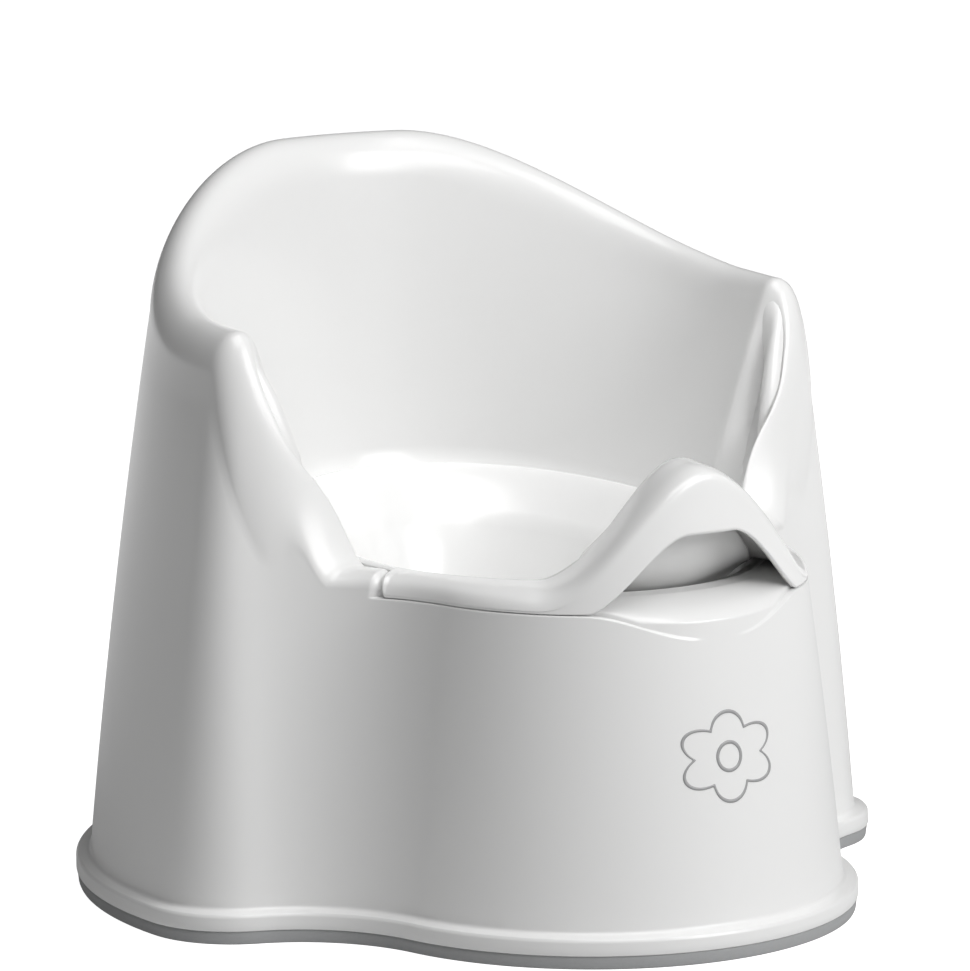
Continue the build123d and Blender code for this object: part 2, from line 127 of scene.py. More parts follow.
def curve(knots: Array, samples: int) -> Array:
    """Smooth run through the profile points of every bearing.

    Args:
        knots: Bearings by points by two.
        samples: Number of points along the run.

    Returns:
        Bearings by samples by two.
    """
    return np.einsum("sk,bkc->bsc", spline_weights(knots.shape[1], samples), knots)


def chain(*runs: Array) -> Array:
    """Joins runs end to end, dropping the first point of each run after the first."""
    return np.concatenate([runs[0], *[run[:, 1:] for run in runs[1:]]], axis=1)


def quarter(crest: Array, side: Array, power: Any, samples: int) -> Array:
    """Quarter ellipse from crest out and down to side: across sin^p of the angle, down cos^p.

    Args:
        crest: Highest point at each bearing.
        side: Point where the ellipse stands upright.
        power: 1 for an ellipse, more to flatten it to a ramp.
        samples: Number of points along it.

    Returns:
        Bearings by samples by two.
    """
    angle = np.linspace(0, np.pi / 2, samples)
    power = np.broadcast_to(power, crest.shape[:1])[:, None]
    across = np.clip(np.sin(angle), 0, 1)[None, :] ** power
    down = np.clip(np.cos(angle), 0, 1)[None, :] ** power
    reach = crest[:, None, 0] + (side - crest)[:, None, 0] * across
    height = side[:, None, 1] + (crest - side)[:, None, 1] * down
    return np.stack([reach, height], axis=-1)


def rolled_over(wall: Array, crest: Array, samples: int) -> Array:
    """Roll from the top of a leaning wall to a level crest, along the cubic with those two tangents.

    Args:
        wall: Foot and head of the straight wall at each bearing.
        crest: Highest point at each bearing.
        samples: Number of points along the roll.

    Returns:
        Bearings by samples by two, from the wall's head to the crest.
    """
    foot, head = wall[:, 0], wall[:, 1]
    lean = (head - foot) / np.linalg.norm(head - foot, axis=-1, keepdims=True)
    first = head + lean * ROLL_FULLNESS * (crest - head)[:, 1:]
    second = crest - (crest - head) * [ROLL_FULLNESS, 0.0]
    share = np.linspace(0, 1, samples)[None, :, None]
    near = 1 - share
    return (near**3 * head[:, None] + 3 * near**2 * share * first[:, None]
            + 3 * near * share**2 * second[:, None] + share**3 * crest[:, None])


def grid_mesh(name: str, grid: Array, ends: bool = False) -> bpy.types.Object:
    """Mesh over a grid that closes round its first direction.

    Args:
        name: Name of the new object.
        grid: Rows round the piece by points along the profile by three, in metres.
        ends: True for a profile that starts and ends on the axis, closed with two fans; False for
            a profile that closes on itself.

    Returns:
        The new object, smooth shaded.
    """
    around, along = grid.shape[:2]
    row = np.arange(around)[:, None]
    column = np.arange(along - 1 if ends else along)[None, :]
    after, beside = (row + 1) % around, (column + 1) % along
    quads = np.stack([row * along + column, row * along + beside,
                      after * along + beside, after * along + column], axis=-1).reshape(-1, 4)
    vertices = grid.reshape(-1, 3)
    corners = [quads.ravel()]
    sizes = [np.full(len(quads), 4)]
    if ends:
        poles = np.stack([grid[:, 0].mean(axis=0), grid[:, -1].mean(axis=0)])
        first, last = len(vertices), len(vertices) + 1
        vertices = np.concatenate([vertices, poles])
        turn, following = np.arange(around), (np.arange(around) + 1) % around
        fans = np.concatenate([
            np.stack([np.full(around, first), turn * along, following * along], axis=-1),
            np.stack([np.full(around, last), following * along + along - 1,
                      turn * along + along - 1], axis=-1)])
        corners.append(fans.ravel())
        sizes.append(np.full(len(fans), 3))
    loops, totals = np.concatenate(corners), np.concatenate(sizes)
    mesh = bpy.data.meshes.new(name)
    mesh.vertices.add(len(vertices))
    mesh.vertices.foreach_set("co", vertices.astype(np.float32).ravel())
    mesh.loops.add(len(loops))
    mesh.loops.foreach_set("vertex_index", loops.astype(np.int32))
    mesh.polygons.add(len(totals))
    mesh.polygons.foreach_set("loop_start", np.concatenate([[0], np.cumsum(totals)[:-1]]).astype(np.int32))
    mesh.polygons.foreach_set("loop_total", totals.astype(np.int32))
    mesh.polygons.foreach_set("use_smooth", np.ones(len(totals), bool))
    mesh.update(calc_edges=True)
    mesh.validate()
    piece = bpy.data.objects.new(name, mesh)
    bpy.context.scene.collection.objects.link(piece)
    return piece


# ---------------------------------------------------------------- the chair's common sizes


@dataclass(frozen=True)
class BaseOutline:
    """Outline of the base: back, lobe, waist and front arcs on each side, tangent in turn."""

    width: float
    depth: float
    front_radius: float = 118.5
    lobe_radius: float = 44.0
    waist_radius: float = 70.0
    back_overrun: float = 3.5
    seat_axis: float = -22.5

    def centres(self) -> Array:
        """Centres of the back, lobe, waist and front arcs on the +X side."""
        back = np.array([0.0, self.depth / 2 - self.width / 2])
        front = np.array([0.0, self.front_radius - self.depth / 2])
        turn = radians(-self.back_overrun)
        lobe = back + (self.width / 2 - self.lobe_radius) * np.array([cos(turn), sin(turn)])
        to_lobe, to_front = self.lobe_radius + self.waist_radius, self.front_radius + self.waist_radius
        link = front - lobe
        span = np.hypot(*link)
        along = (to_lobe**2 - to_front**2 + span**2) / (2 * span)
        aside = np.sqrt(to_lobe**2 - along**2)
        waist = lobe + (link * along + np.array([-link[1], link[0]]) * aside) / span
        return np.stack([back, lobe, waist, front])

    def reach(self, bearing: Array, inset: Any) -> Array:
        """Distance from the seat axis to the outline drawn in by inset.

        The ray meets each arc at c.u + side * sqrt(r^2 - |c|^2 + (c.u)^2), and the arc is the one
        whose junctions lie either side of the bearing.

        Args:
            bearing: Degrees from the front, of either sign.
            inset: How far inside the base outline, in millimetres.

        Returns:
            The reach at each bearing, in millimetres.
        """
        bearing, inset = np.broadcast_arrays(np.abs(bearing).astype(float), np.asarray(inset, float))
        back, lobe, waist, front = self.centres()
        out_back = np.array([cos(radians(-self.back_overrun)), sin(radians(-self.back_overrun))])
        out_lobe = (waist - lobe) / np.hypot(*(waist - lobe))
        out_front = (waist - front) / np.hypot(*(waist - front))
        ends = []
        for centre, radius, out in ((back, self.width / 2, out_back), (lobe, self.lobe_radius, out_lobe),
                                    (front, self.front_radius, out_front)):
            spot = centre + (radius - inset)[..., None] * out
            ends.append(np.degrees(np.arctan2(np.abs(spot[..., 0]), self.seat_axis - spot[..., 1])))
        zones = [bearing >= ends[0], bearing >= ends[1], bearing > ends[2]]
        drawn_in = [self.width / 2 - inset, self.lobe_radius - inset, self.waist_radius + inset]
        radius = np.select(zones, drawn_in, self.front_radius - inset)
        side = np.select(zones, [1.0, 1.0, -1.0], 1.0)
        centre_x = np.select(zones, [back[0], lobe[0], waist[0]], front[0])
        centre_y = np.select(zones, [back[1], lobe[1], waist[1]], front[1]) - self.seat_axis
        along = centre_x * np.sin(np.radians(bearing)) - centre_y * np.cos(np.radians(bearing))
        square = radius**2 - (centre_x**2 + centre_y**2 - along**2)
        return along + side * np.sqrt(np.maximum(square, 0.0))


@dataclass(frozen=True)
class ChairForm:
    """Sizes that the shell and the potty share."""

    outline: BaseOutline
    height: float
    wall_lean: float = 7.25
    front_extra_lean: float = 1.15
    wall_crown: float = 3.0
    flange_ledge: float = 4.7
    flange_top: float = 13.8
    strip_height: float = 6.0
    opening_half_width: float = 96.0
    opening_back: float = 127.0
    opening_front: float = 112.0
    rim_front: float = 157.5
    rim_back: float = 169.5
    lip_drop: float = 20.0
    lip_run: float = 24.0
    rim_land: float = 3.0
    potty_wall: float = 2.6
    skirt_bottom: float = 147.6
    skirt_bearing: float = 70.0
    skirt_gap: float = 0.6
    seat_gap: float = 0.5
    side_gap: float = 0.9

    @classmethod
    def from_frame(cls) -> "ChairForm":
        """Form with the overall sizes of the frame's chair shell."""
        low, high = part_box("chair_shell")
        width, depth = (high.x - low.x) / MILLIMETRE, (high.y - low.y) / MILLIMETRE
        return cls(BaseOutline(round(width, 0), round(depth, 0)), round(high.z / MILLIMETRE, 0))

    def opening(self, bearing: Array) -> Array:
        """Reach of the rim's crest: an ellipse with a shorter front half, read at the bearing."""
        angle = np.radians(bearing)
        length = np.where(np.abs(bearing) > 90, self.opening_back, self.opening_front)
        return 1 / np.hypot(np.sin(angle) / self.opening_half_width, np.cos(angle) / length)

    def rim(self, bearing: Array) -> Array:
        """Height of the rim's crest, which climbs towards the back."""
        axis = self.outline.seat_axis
        back = axis + self.opening_back
        y = axis - self.opening(bearing) * np.cos(np.radians(bearing))
        climb = smooth_step(-75.0, back + 30, y) / smooth_step(-75.0, back + 30, back)
        return self.rim_front + (self.rim_back - self.rim_front) * climb

    def inset(self, bearing: Array, z: Any) -> Array:
        """How far the leaning, slightly crowned wall stands inside the base outline at height z."""
        rise = np.maximum(z - self.flange_top, 0) / (self.height - self.flange_top)
        lean = self.wall_lean + self.front_extra_lean * (1 - smooth_step(60.0, 90.0, np.abs(bearing)))
        bow = self.wall_crown * 4 * rise * (1 - rise)
        return self.flange_ledge + z * np.tan(np.radians(lean)) - bow

    def wall(self, bearing: Array, z: Any, inside: Any = 0.0) -> Array:
        """Reach of the outer wall at height z, drawn in by inside."""
        return self.outline.reach(bearing, self.inset(bearing, z) + inside)

    def wall_run(self, bearing: Array, high: Any, low: Any, inside: Any, samples: int) -> Array:
        """Run down the outer wall between two heights, drawn in by inside."""
        share = np.linspace(0, 1, samples)[None, :]
        high = np.broadcast_to(high, bearing.shape)[:, None]
        low = np.broadcast_to(low, bearing.shape)[:, None]
        z = high + (low - high) * share
        inside = np.broadcast_to(inside, bearing.shape)[:, None]
        return np.stack([self.wall(bearing[:, None], z, inside), z], axis=-1)

    def front_angle(self, bearing: Array) -> Array:
        """Angle about the front arc's centre of the wall at each bearing, in degrees."""
        reach = self.outline.reach(bearing, 30.0)
        turn = np.radians(bearing)
        centre = self.outline.front_radius - self.outline.depth / 2
        x, y = reach * np.sin(turn), self.outline.seat_axis - reach * np.cos(turn)
        return np.degrees(np.arctan2(x, centre - y))

    def place(self, bearing: Array, profile: Array) -> Array:
        """Profile points (reach, z) put into space, in metres."""
        turn = np.radians(bearing)[:, None]
        x = profile[..., 0] * np.sin(turn)
        y = self.outline.seat_axis - profile[..., 0] * np.cos(turn)
        return np.stack([x, y, profile[..., 1]], axis=-1) * MILLIMETRE


def bearings(front: int, middle: int, back: int) -> Array:
    """Bearings all round from -180, closest together at the ends of the potty's band.

    Args:
        front: Steps on each side from 0 to 52 degrees.
        middle: Steps from 52 to 78 degrees.
        back: Steps from 78 to 180 degrees.

    Returns:
        Rising bearings in degrees; the last one stops short of 180.
    """
    side = np.concatenate([np.linspace(0, BAND_END_FROM, front, endpoint=False),
                           np.linspace(BAND_END_FROM, BAND_END_TO, middle, endpoint=False),
                           np.linspace(BAND_END_TO, 180, back + 1)])
    return np.concatenate([-side[:0:-1], side[:-1]])


# ---------------------------------------------------------------- pieces


@dataclass(frozen=True)
class ChairShell:
    """One-piece hollow moulding: seat ring, inner wall, rolled rim, outer wall and flange."""

    form: ChairForm
    wall: float = 3.0
    arm_top: float = 262.0
    arm_fall: float = 3.0
    arm_start: float = 104.0
    back_top: float = 169.0
    nose_top: float = 94.0
    nose_foot: float = 77.0
    shoulder: float = 158.0
    rim_roll: float = 20.0
    rim_width: float = 27.0
    crest_drop: float = 2.4
    seat_relief: float = 1.6
    scoop_depth: float = 12.0
    scoop_half_angle: float = 38.0
    scoop_flat_angle: float = 4.0

    def front_share(self, bearing: Array) -> Array:
        """1 under the potty's front band, 0 beyond it."""
        edge = self.form.skirt_bearing
        return 1 - smooth_step(edge - 2.4, edge + 0.6, np.abs(bearing))

    def crest(self, bearing: Array) -> Array:
        """Height of the top of the shell: front crest, shoulder, arm, then the climb to the back."""
        size = np.abs(bearing)
        front = self.form.rim_front - self.form.potty_wall - self.form.seat_gap - self.crest_drop
        shoulder = front + (self.shoulder - front) * (1 - self.front_share(bearing))
        arm = self.arm_top - self.arm_fall * (1 - smooth_step(self.nose_top, self.arm_start + 12, size))
        side = shoulder + (arm - shoulder) * smooth_step(self.nose_foot, self.nose_top, size)
        return side + (self.form.height - self.arm_top) * smooth_step(self.arm_start, self.back_top, size)

    def roll(self, bearing: Array, radius: float) -> Array:
        """Depth of the rolled rim, measured square to the rim's own slope."""
        size = np.abs(bearing)
        run = radians(2.0) * (self.form.opening(size) + self.rim_roll)
        slope = (self.crest(size + 1.0) - self.crest(size - 1.0)) / run
        return radius * (1 + slope**2) ** 0.3

    def scoop(self, bearing: Array) -> Array:
        """1 in the finger scoop at the front, 0 beside it."""
        angle = np.abs(self.form.front_angle(bearing))
        return 1 - smooth_step(self.scoop_flat_angle, self.scoop_half_angle, angle)

    def outside(self, bearing: Array) -> Array:
        """Profile from the seat up the inner wall, over the rim and down to the bottom edge."""
        form = self.form
        front, scoop = self.front_share(bearing), self.scoop(bearing)
        rim, seat, top = form.rim(bearing), form.opening(bearing), self.crest(bearing)
        fall, drop = form.potty_wall + form.seat_gap, form.lip_drop / form.lip_run
        walled = smooth_step(self.shoulder + 3, self.shoulder + 60, top)
        roll = self.roll(bearing, self.rim_roll)
        foot_z = np.minimum(rim - fall - 1.5, top - 0.8)
        foot = seat + form.rim_land + form.side_gap
        head_z = foot_z + np.maximum(1.2, (top - roll - foot_z) * walled)
        outer_roll = 9.0 + (np.minimum(roll, top - form.skirt_bottom - 5) - 9.0) * walled
        step_z = form.skirt_bottom - form.skirt_gap - self.scoop_depth * scoop
        rebate = (form.potty_wall + form.skirt_gap) * front * (1 - scoop)
        wall_top = np.maximum(top - outer_roll, step_z + 3 - 1.5 * front)
        shoulder_reach = form.wall(bearing, wall_top, rebate)
        head = foot + np.maximum(shoulder_reach - self.rim_width - foot, 0.0) * walled
        crest_reach = head + (shoulder_reach - head) * (0.5 * walled + 0.3 * (1 - walled))
        crest = np.stack([crest_reach, top], axis=-1)
        cone = points((seat - 8, rim - fall - 8 * drop - self.seat_relief),
                      (seat - 4, rim - fall - 4 * drop - self.seat_relief / 2),
                      (foot - 0.5, foot_z))
        wall = points((foot - 0.5, foot_z), (head, head_z))
        inner = rolled_over(wall, crest, 18)
        outer = quarter(crest, np.stack([shoulder_reach, wall_top], axis=-1), 1.0 + 0.8 * scoop, 18)
        upper = form.wall_run(bearing, wall_top, step_z + 0.2, rebate, 8)
        ledge = points((upper[:, -1, 0], step_z + 0.2), (form.wall(bearing, step_z), step_z),
                       (form.wall(bearing, step_z - 0.8), step_z - 0.8))
        lower = form.wall_run(bearing, step_z - 0.8, form.flange_top + 2.2, 0.0, 16)
        return chain(curve(cone, 6), curve(wall, 12), inner, outer, upper, ledge, lower, self.flange(bearing))

    def flange(self, bearing: Array) -> Array:
        """Fillet from the wall to the ledge, rounded edge and upright face down to the strip."""
        form, top = self.form, self.form.flange_top
        start = form.inset(bearing, top + 2.2)
        path = [(start, top + 2.2), (start - 0.35, top + 0.9), (start - 1.2, top + 0.15),
                (start - 2.4, top - 0.15), (1.6, top - 0.5), (0.75, top - 0.85),
                (0.2, top - 1.6), (0.0, top - 2.6), (0.0, top - 4.5)]
        knots = points(*[(form.outline.reach(bearing, inset), z) for inset, z in path])
        foot = points((form.outline.reach(bearing, 0.0), top - 4.5), (form.outline.reach(bearing, 0.0), 6.5),
                      (form.outline.reach(bearing, 0.3), form.strip_height))
        return chain(curve(knots, 22), foot)

    def inside(self, bearing: Array) -> Array:
        """Profile of the hollow's lining, from the bottom edge up and round to the seat's edge."""
        form, wall = self.form, self.wall
        rim, seat, top = form.rim(bearing), form.opening(bearing), self.crest(bearing)
        walled = smooth_step(self.shoulder + 12, self.shoulder + 60, top)
        fall, drop = form.potty_wall + form.seat_gap + wall * 1.3, form.lip_drop / form.lip_run
        low_z = form.skirt_bottom - form.skirt_gap - self.scoop_depth * self.scoop(bearing) - 2 * wall
        roll = self.roll(bearing, self.rim_roll - wall)
        foot_z = low_z + (rim - fall - 3 - low_z) * walled
        hollow_top = low_z + 1 + (top - wall - low_z - 1) * walled
        head_z = foot_z + np.maximum(0.5, (hollow_top - roll - foot_z) * walled)
        wall_top = np.minimum(hollow_top - 0.5, np.maximum(hollow_top - roll, low_z - 1))
        outer = form.wall(bearing, wall_top, wall)
        foot = seat + form.rim_land + form.side_gap + wall
        head = foot + np.maximum(outer - self.rim_width + 2 * wall - foot, 0.0) * walled
        foot, head = np.minimum(foot, outer - 4), np.minimum(head, outer - 3)
        crest = np.stack([(head + outer) / 2, hollow_top], axis=-1)
        up = form.wall_run(bearing, form.flange_top + 2.0, wall_top, wall, 16)
        near = quarter(crest, np.stack([outer, wall_top], axis=-1), 1.0, 8)[:, ::-1]
        far = quarter(crest, np.stack([head, head_z], axis=-1), 1.0, 8)
        down = points((head, head_z), (foot, foot_z), (seat - 8, rim - fall - 8 * drop - self.seat_relief))
        bottom = points((form.outline.reach(bearing, wall), form.strip_height),
                        (form.outline.reach(bearing, wall), form.flange_top - 5), (up[:, 0, 0], up[:, 0, 1]))
        return chain(bottom, up, near, far, down)

    def build(self) -> bpy.types.Object:
        """Makes the shell's mesh.

        Returns:
            The chair shell, closed round the seat axis and along its profile.
        """
        turn = bearings(100, 110, 120)
        profile = np.concatenate([self.outside(turn), self.inside(turn)], axis=1)
        return grid_mesh("moulded_chair_shell", self.form.place(turn, profile))


@dataclass(frozen=True)
class InnerPotty:
    """Lift-out potty: bowl, sloping lip, rim, front band and hollow splash guard with its finger gap."""

    form: ChairForm
    floor: float = 42.0
    floor_share: float = 0.52
    guard_top: float = 207.0
    guard_spread: float = 50.0
    ridge: float = 27.0
    gap_top: float = 179.0
    gap_foot: float = 146.0
    gap_half_angle: float = 38.0
    gap_flat_angle: float = 7.0

    def band_share(self, bearing: Array) -> Array:
        """1 where the potty has its front band, 0 beyond it."""
        edge = self.form.skirt_bearing
        return 1 - smooth_step(edge - 3.2, edge - 0.2, np.abs(bearing))

    def guard(self, bearing: Array) -> tuple[Array, Array, Array]:
        """Rise of the splash guard from 0 to 1, and the reach and height of its ridge."""
        form = self.form
        seat, rim = form.opening(bearing), form.rim(bearing)
        angle = np.where(np.abs(bearing) < 90, np.abs(form.front_angle(bearing)), 90.0)
        rise = 1 - smooth_step(0.0, self.guard_spread, angle)
        top = rim + (self.guard_top - rim) * rise
        ridge = form.wall(bearing, top) - self.ridge / 2
        return rise, seat + (ridge - seat) * smooth_step(0.0, 0.55, rise), top

    def gap(self, bearing: Array) -> Array:
        """Height where the band's front face ends: its bottom edge, or the arch of the finger gap."""
        angle = np.abs(self.form.front_angle(bearing))
        arch = 1 - smooth_step(self.gap_flat_angle, self.gap_half_angle + 2, angle)
        arch_z = self.gap_foot + (self.gap_top - self.gap_foot) * arch
        return np.maximum(self.form.skirt_bottom, np.where(np.abs(bearing) < 70, arch_z, 0.0))

    def rim_side(self, bearing: Array, inset: float) -> Array:
        """Run from the ridge outwards and down the front band; beside the band, the rim's short land."""
        form = self.form
        rim, share = form.rim(bearing), self.band_share(bearing)
        rise, crest, top = self.guard(bearing)
        under = inset / form.potty_wall
        land = crest + form.rim_land
        side = points(
            (crest, rim - inset), (crest + 0.9, rim - 0.1 - inset), (crest + 1.7, rim - 0.3 - inset * 0.95),
            (land - 0.5 - 0.5 * under, rim - 0.6 - inset * 0.8),
            (land - 0.2 - 0.4 * under, rim - 0.8 - 0.6 * inset),
            (land - 0.1 * under, rim - 1.1 - 0.4 * inset), (land, rim - 1.4 - 0.2 * inset))
        roll_z = top - 8.5 + 3.0 * rise
        wall = form.wall(bearing, roll_z, inset)
        end_z = self.gap(bearing)
        band = [(crest, top - inset)]
        for degree in (30, 60, 90):
            across, down = sin(radians(degree)), cos(radians(degree))
            band.append((crest + (wall - crest) * across, roll_z + (top - inset - roll_z) * down))
        for step in (1, 2, 3):
            z = roll_z + (end_z - roll_z) * step / 3
            band.append((form.wall(bearing, z, inset), z))
        out, down = (share * (2 - share))[:, None, None], (share**2)[:, None, None]
        mixed = side + (points(*band) - side) * np.concatenate([out, down], axis=-1)
        return curve(mixed, 30)

    def bowl_side(self, bearing: Array, inset: float) -> tuple[Array, Array]:
        """Runs from the ridge down the guard's back to the lip's end, and from there to the floor."""
        form = self.form
        seat, rim = form.opening(bearing), form.rim(bearing)
        rise, crest, top = self.guard(bearing)
        floor = self.floor_share * seat
        side, down = 0.9 * inset, 0.75 * inset
        guarded = smooth_step(0.0, 0.3, rise)
        plain = points((crest - 0.8 + 0.1 * inset, rim - 0.2 - inset),
                       (crest - 1.6 + 0.15 * inset, rim - 0.5 - inset))
        back = points((crest - 0.42 * self.ridge + 0.8 * inset, top - 3.0 - 0.5 * inset),
                      (seat + 0.42 * (crest - seat) + inset, rim + 0.42 * (top - rim)))
        edge = plain + (back - plain) * guarded[:, None, None]
        reach = seat - form.lip_run - floor
        lip = points(
            (seat - 3 + 0.2 * inset + 0.6 * inset * guarded, rim - 1.2 - inset * (1 - 0.6 * guarded)),
            (seat - 0.45 * form.lip_run + 0.4 * inset, rim - 0.36 * form.lip_drop - down * 1.2),
            (seat - form.lip_run + side * 0.8, rim - form.lip_drop - down))
        first = np.concatenate([points((crest, top - inset)), edge, lip], axis=1)
        second = points(
            (seat - form.lip_run + side * 0.8, rim - form.lip_drop - down),
            (seat - form.lip_run - 0.42 * reach + side * 1.05, rim - form.lip_drop - 32 - inset * 0.4),
            (seat - form.lip_run - 0.72 * reach + side * 1.05, self.floor + 26 - inset * 0.4),
            (floor + 6 + side, self.floor + 6 - down),
            (floor - 2, self.floor - inset))
        return curve(first, 26), curve(second, 24)

    def build(self) -> bpy.types.Object:
        """Makes the potty's mesh.

        Returns:
            The potty as one closed skin, with a fan at the middle of the floor on each side.
        """
        turn = bearings(90, 110, 96)
        wall = self.form.potty_wall
        guard_back, bowl = self.bowl_side(turn, 0.0)
        under_back, under_bowl = self.bowl_side(turn, wall)
        outer, under = self.rim_side(turn, 0.0), self.rim_side(turn, wall)
        top = np.stack([bowl[:, -1] * [0.5, 1.0], bowl[:, -1] * [0.1, 1.0]], axis=1)
        bottom = np.stack([under_bowl[:, -1] * [0.5, 1.0], under_bowl[:, -1] * [0.1, 1.0]], axis=1)
        profile = np.concatenate([
            top[:, ::-1], bowl[:, ::-1], guard_back[:, -2::-1], outer[:, 1:],
            under[:, ::-1], under_back[:, 1:], under_bowl[:, 1:], bottom], axis=1)
        return grid_mesh("lift_out_potty", self.form.place(turn, profile), ends=True)


@dataclass(frozen=True)
class GripStrip:
    """Soft ring under the flange that keeps the chair from sliding."""

    form: ChairForm
    width: float = 8.0
    inset: float = 1.0
    lip: float = 2.2
    lip_height: float = 2.4

    def build(self) -> bpy.types.Object:
        """Makes the strip's mesh.

        Returns:
            The strip, whose section is a rounded bar with a small lip behind the flange.
        """
        turn = bearings(90, 90, 110)
        height = self.form.strip_height
        path = [(self.inset + 0.9, 0.0), (self.inset + 0.3, 0.25), (self.inset, 0.9), (0.75, 3.0),
                (0.55, 4.6), (0.7, height - 0.35), (1.1, height - 0.05), (3.35, height - 0.05),
                (3.35, height + self.lip_height), (3.0 + self.lip, height + self.lip_height),
                (3.0 + self.lip, height), (self.width, height), (self.width, 0.4),
                (self.width - 0.4, 0.0), (4.5, 0.0)]
        profile = points(*[(self.form.outline.reach(turn, inset), z) for inset, z in reversed(path)])
        return grid_mesh("rubber_grip_strip", self.form.place(turn, profile))


@dataclass(frozen=True)
class FlowerMark:
    """Plain grey flower printed on the front: a scalloped outline round a small ring."""

    form: ChairForm
    centre_z: float = 85.0
    half_width: float = 25.0
    half_height: float = 19.0
    petals: int = 6
    petal_depth: float = 0.16
    line: float = 1.5
    ring: float = 6.0
    film: float = 0.12

    def loop(self, name: str, radius_x: float, radius_z: float, wave: float) -> bpy.types.Object:
        """One printed line that lies on the front wall.

        Its middle is r (1 - wave + wave |cos(n t / 2)|) round the centre, and its flat section is
        carried round that line on the wall's own cone.

        Args:
            name: Name of the new object.
            radius_x: Half width of the line's outline.
            radius_z: Half height of it.
            wave: Depth of the scallops, as a share of the radius.

        Returns:
            The line as a thin closed ring.
        """
        turn = np.linspace(0, 2 * np.pi, 480, endpoint=False)[:, None]
        scallop = 1 - wave + wave * np.sqrt(np.cos(self.petals * turn / 2) ** 2 + 0.004)
        shift = self.line / 2 * np.array([-1.0, 1.0, 1.0, -1.0])[None, :]
        lift = self.film * np.array([-1.0, -1.0, 1.0, 1.0])[None, :]
        across = (radius_x * scallop + shift) * np.sin(turn)
        z = self.centre_z + (radius_z * scallop + shift) * np.cos(turn)
        cone = self.form.outline.front_radius - self.form.inset(np.zeros(1), z)
        angle = across / cone
        centre = self.form.outline.front_radius - self.form.outline.depth / 2
        x, y = (cone + lift) * np.sin(angle), centre - (cone + lift) * np.cos(angle)
        return grid_mesh(name, np.stack([x, y, z], axis=-1) * MILLIMETRE)

    def build(self) -> list[bpy.types.Object]:
        """Makes the petals' outline and the middle ring.

        Returns:
            The two printed lines.
        """
        return [self.loop("printed_petals", self.half_width, self.half_height, self.petal_depth * 2),
                self.loop("printed_flower_middle", self.ring, self.ring, 0.0)]


# ---------------------------------------------------------------- finishes


class Sock:
    """A shader socket, so that node maths reads as an expression."""

    def __init__(self, tree: bpy.types.NodeTree, value: Any) -> None:
        """Keeps the tree and the socket or number."""
        self.tree = tree
        self.value = value

    def math(self, operation: str, other: Any = None, flip: bool = False) -> "Sock":
        """Adds one Math node.

        Args:
            operation: Blender's name of the operation.
            other: Second value, if it takes one.
            flip: True to swap the two values.

        Returns:
            The node's result.
        """
        node = self.tree.nodes.new("ShaderNodeMath")
        node.operation = operation
        values = [self.value] if other is None else [self.value, getattr(other, "value", other)]
        for entry, value in zip(node.inputs, reversed(values) if flip else values):
            if isinstance(value, bpy.types.NodeSocket):
                self.tree.links.new(value, entry)
            else:
                entry.default_value = value
        return Sock(self.tree, node.outputs[0])

    def __add__(self, other: Any) -> "Sock":
        """Sum."""
        return self.math("ADD", other)

    def __mul__(self, other: Any) -> "Sock":
        """Product."""
        return self.math("MULTIPLY", other)

    def __sub__(self, other: Any) -> "Sock":
        """Difference."""
        return self.math("SUBTRACT", other)

    def __rsub__(self, other: Any) -> "Sock":
        """Difference from a number."""
        return self.math("SUBTRACT", other, flip=True)

    __radd__ = __add__
    __rmul__ = __mul__


class Finish:
    """A node material with one Principled shader."""

    def __init__(self, name: str) -> None:
        """Starts an empty tree with a shader and an output."""
        self.material = bpy.data.materials.new(name)
        self.material.use_nodes = True
        self.tree = self.material.node_tree
        self.tree.nodes.clear()
        self.shader = self.tree.nodes.new("ShaderNodeBsdfPrincipled")
        output = self.tree.nodes.new("ShaderNodeOutputMaterial")
        self.tree.links.new(self.shader.outputs[0], output.inputs["Surface"])

    def node(self, kind: str, settings: dict[str, Any] | None = None, **values: Any) -> bpy.types.Node:
        """Adds a node.

        Args:
            kind: Blender's node type.
            settings: Properties set before the sockets.
            **values: Socket values or links, with underscores for spaces.

        Returns:
            The new node.
        """
        made = self.tree.nodes.new(kind)
        for key, value in (settings or {}).items():
            setattr(made, key, value)
        for key, value in values.items():
            self.feed(made.inputs[key.replace("_", " ")], value)
        return made

    def feed(self, entry: bpy.types.NodeSocket, value: Any) -> None:
        """Links or sets one socket."""
        value = getattr(value, "value", value)
        if isinstance(value, bpy.types.NodeSocket):
            self.tree.links.new(value, entry)
        else:
            entry.default_value = value

    def place(self) -> bpy.types.NodeSocket:
        """The piece's own coordinates."""
        return self.node("ShaderNodeTexCoord").outputs["Object"]

    def noise(self, scale: float, detail: float = 2.0, roughness: float = 0.5) -> Sock:
        """Noise from 0 to 1 on the piece's own coordinates."""
        made = self.node("ShaderNodeTexNoise", Vector=self.place(), Scale=scale, Detail=detail,
                         Roughness=roughness)
        return Sock(self.tree, made.outputs["Fac"])

    def mix(self, factor: Any, first: tuple[float, ...], second: tuple[float, ...]) -> bpy.types.NodeSocket:
        """Colour part of the way from first to second."""
        made = self.node("ShaderNodeMix", {"data_type": "RGBA"})
        self.feed(made.inputs[0], factor)
        self.feed(made.inputs[6], first)
        self.feed(made.inputs[7], second)
        return made.outputs[2]

    def bump(self, height: Any, distance: float, strength: float = 1.0) -> None:
        """Feeds the shader's normal from a height."""
        made = self.node("ShaderNodeBump", Strength=strength, Distance=distance)
        self.feed(made.inputs["Height"], height)
        self.feed(self.shader.inputs["Normal"], made.outputs["Normal"])


